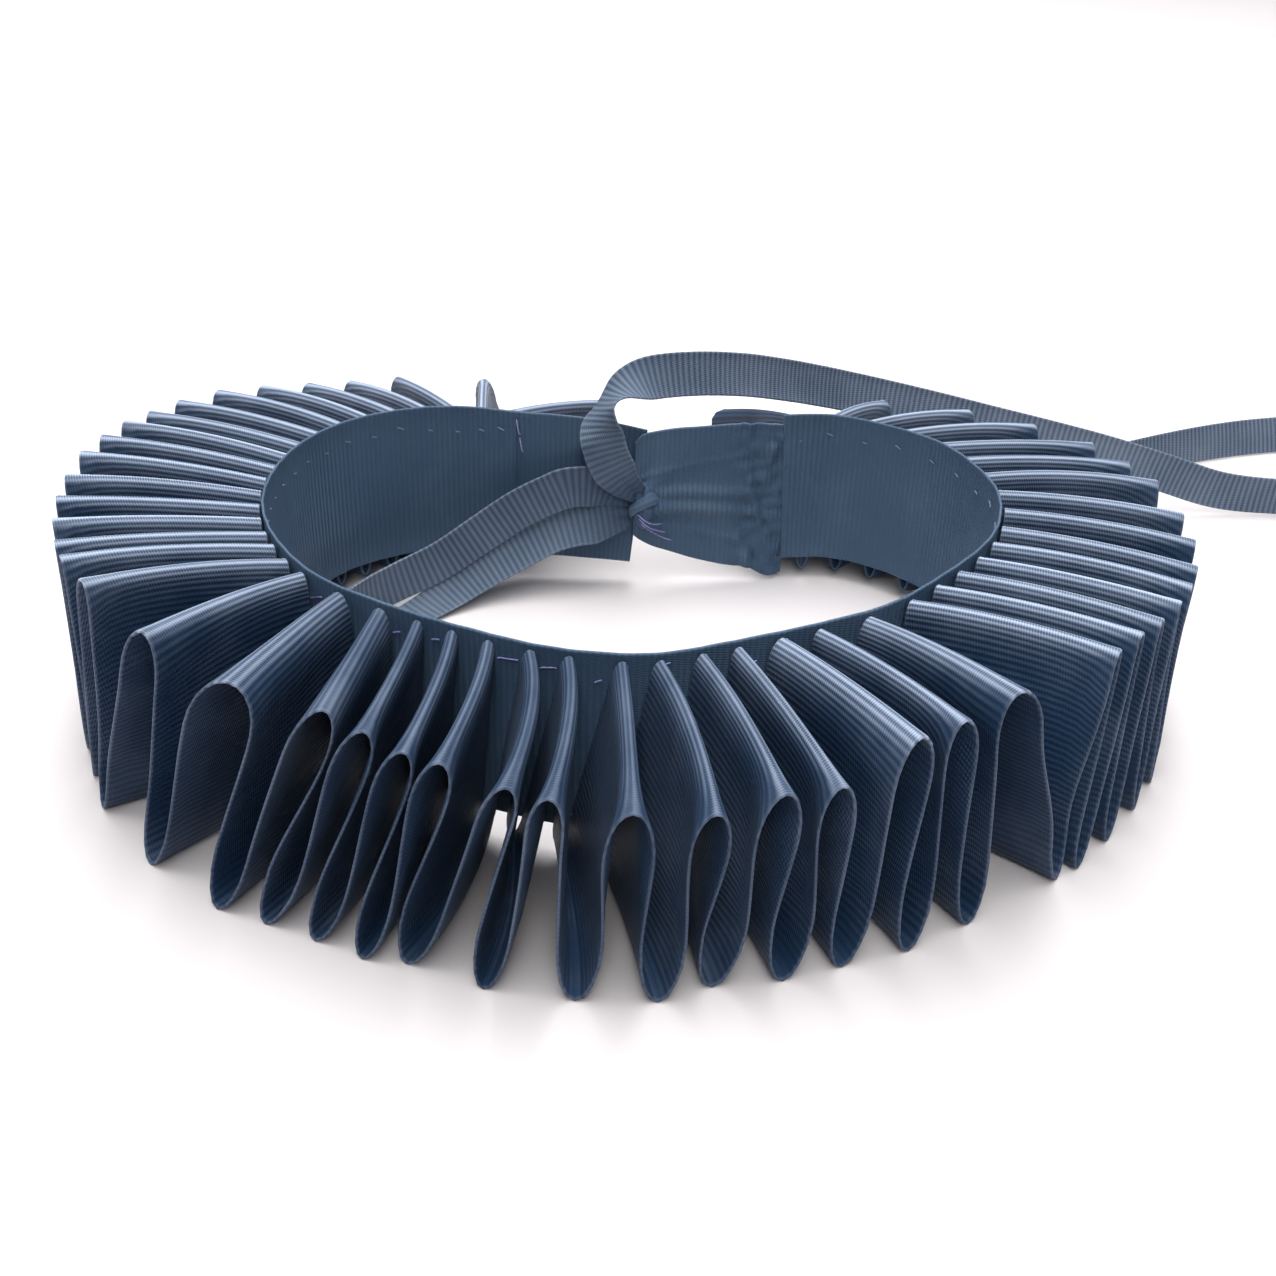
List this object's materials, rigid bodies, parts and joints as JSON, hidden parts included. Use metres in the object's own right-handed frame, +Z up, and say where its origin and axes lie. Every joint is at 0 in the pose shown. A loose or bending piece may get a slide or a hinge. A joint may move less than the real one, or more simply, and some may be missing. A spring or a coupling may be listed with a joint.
{
  "type": "ruff collar",
  "caption": "Ribbon ruff collar: a standing neckband with one ribbon set round it in deep upright pleats, its open back closed by tabs, a knot and narrow ties.",
  "frame": {"origin": "middle of the collar's outline without its ties, at the table it rests on", "axes": "+Z up through the neck opening, the throat faces -Y, the open back faces +Y, +X to the right of the picture"},
  "size_m": [0.3314, 0.2495, 0.0567],
  "materials": {
    "neckband": "navy grosgrain ribbon, fine cross ribs, soft sheen",
    "ruffle": "navy grosgrain ribbon, fine cross ribs, soft sheen",
    "tab_left": "navy grosgrain ribbon, fine cross ribs, soft sheen",
    "tab_right": "navy grosgrain ribbon, fine cross ribs, soft sheen",
    "knot": "narrow slate ribbon, tied",
    "tie_arch": "narrow slate ribbon, fine cross ribs",
    "tie_back": "narrow slate ribbon, fine cross ribs",
    "tie_inner_upper": "narrow slate ribbon, fine cross ribs",
    "tie_inner_lower": "narrow slate ribbon, fine cross ribs"
  },
  "bodies": {
    "root": {"neckband": "neckband", "ruffle": "ruffle", "tab_left": "tab_left", "tab_right": "tab_right", "knot": "knot", "tie_arch": "tie_arch", "tie_back": "tie_back", "tie_inner_upper": "tie_inner_upper", "tie_inner_lower": "tie_inner_lower"}
  },
  "joints": []
}
